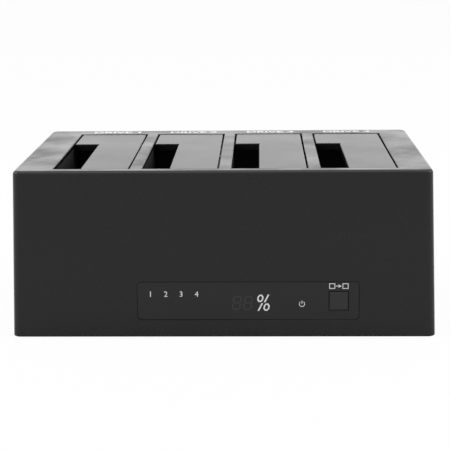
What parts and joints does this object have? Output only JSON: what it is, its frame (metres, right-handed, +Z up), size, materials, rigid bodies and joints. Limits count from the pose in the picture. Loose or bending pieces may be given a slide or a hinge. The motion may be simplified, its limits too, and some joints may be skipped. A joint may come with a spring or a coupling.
{
  "type": "drive duplicator",
  "caption": "Desktop dock and copier for bare disk drives: sloping-sided casing, sprung L-shaped flaps over upright bays, a smoked front panel with a copy key, rear sockets.",
  "frame": {"origin": "middle of the footprint, on the surface that the feet stand on", "axes": "+X to the right seen from the front, +Y towards the rear, +Z up"},
  "size_m": [0.2058, 0.1323, 0.0832],
  "materials": {
    "casing": "fine matte",
    "flap": "fine matte",
    "well": "matte",
    "steel": "satin",
    "spring_wire": "satin",
    "black_screw": "black zinc",
    "lens": "gloss",
    "key": "fine matte",
    "rubber": "matte",
    "board": "solder mask",
    "connector": "matte",
    "contacts": "gold plated",
    "chip": "matte",
    "coil": "ferrite",
    "capacitor_can": "satin",
    "socket_shell": "nickel plated",
    "socket_core": "matte",
    "jack_pin": "polished",
    "lamp": "clear resin",
    "display": "gloss"
  },
  "bodies": {
    "casing": {"base_cover": "casing", "base_screws": "black_screw", "board_link": "connector", "board_screws": "steel", "capacitors": "capacitor_can", "control_chips": "chip", "copy_switch": "socket_core", "drive_well_1": "well", "drive_well_2": "well", "drive_well_3": "well", "drive_well_4": "well", "flap_spring_1": "spring_wire", "flap_spring_2": "spring_wire", "flap_spring_3": "spring_wire", "flap_spring_4": "spring_wire", "front_circuit_board": "board", "front_panel": "lens", "hinge_pin_1": "steel", "hinge_pin_2": "steel", "hinge_pin_3": "steel", "hinge_pin_4": "steel", "lamp_block": "socket_core", "main_circuit_board": "board", "number_display": "display", "outer_housing": "casing", "power_coils": "coil", "power_jack_housing": "socket_core", "power_jack_pin": "jack_pin", "power_switch_body": "socket_core", "rubber_feet": "rubber", "sata_connector_1": "connector", "sata_connector_2": "connector", "sata_connector_3": "connector", "sata_connector_4": "connector", "sata_contacts": "contacts", "status_lamps": "lamp", "usb_socket_core": "socket_core", "usb_socket_shell": "socket_shell", "well_screws": "steel"},
    "flap_1": {"bay_flap_1": "flap"},
    "flap_2": {"bay_flap_2": "flap"},
    "flap_3": {"bay_flap_3": "flap"},
    "flap_4": {"bay_flap_4": "flap"},
    "copy_key": {"copy_button": "key", "copy_switch_plunger": "socket_core"},
    "power_key": {"power_button": "key"}
  },
  "joints": [
    {"name": "flap_1_hinge", "type": "hinge", "parent": "casing", "child": "flap_1", "pos_m": [-0.04575, 0, 0.078], "axis": [0, -1, 0], "range_deg": [0, 88], "stiffness_Nm_per_rad": 0.004, "springref_deg": -68.75, "deforming": ["flap_spring_1"]},
    {"name": "flap_2_hinge", "type": "hinge", "parent": "casing", "child": "flap_2", "pos_m": [-0.00285, 0, 0.078], "axis": [0, -1, 0], "range_deg": [0, 88], "stiffness_Nm_per_rad": 0.004, "springref_deg": -68.75, "deforming": ["flap_spring_2"]},
    {"name": "flap_3_hinge", "type": "hinge", "parent": "casing", "child": "flap_3", "pos_m": [0.04005, 0, 0.078], "axis": [0, -1, 0], "range_deg": [0, 88], "stiffness_Nm_per_rad": 0.004, "springref_deg": -68.75, "deforming": ["flap_spring_3"]},
    {"name": "flap_4_hinge", "type": "hinge", "parent": "casing", "child": "flap_4", "pos_m": [0.08295, 0, 0.078], "axis": [0, -1, 0], "range_deg": [0, 88], "stiffness_Nm_per_rad": 0.004, "springref_deg": -68.75, "deforming": ["flap_spring_4"]},
    {"name": "copy_key_press", "type": "slide", "parent": "casing", "child": "copy_key", "axis": [0, 1, 0], "range_m": [0, 0.00025], "stiffness_N_per_m": 2000, "springref_m": -0.0003},
    {"name": "power_key_press", "type": "slide", "parent": "casing", "child": "power_key", "axis": [0, -1, 0], "range_m": [0, 0.0018], "stiffness_N_per_m": 400, "springref_m": -0.002}
  ]
}
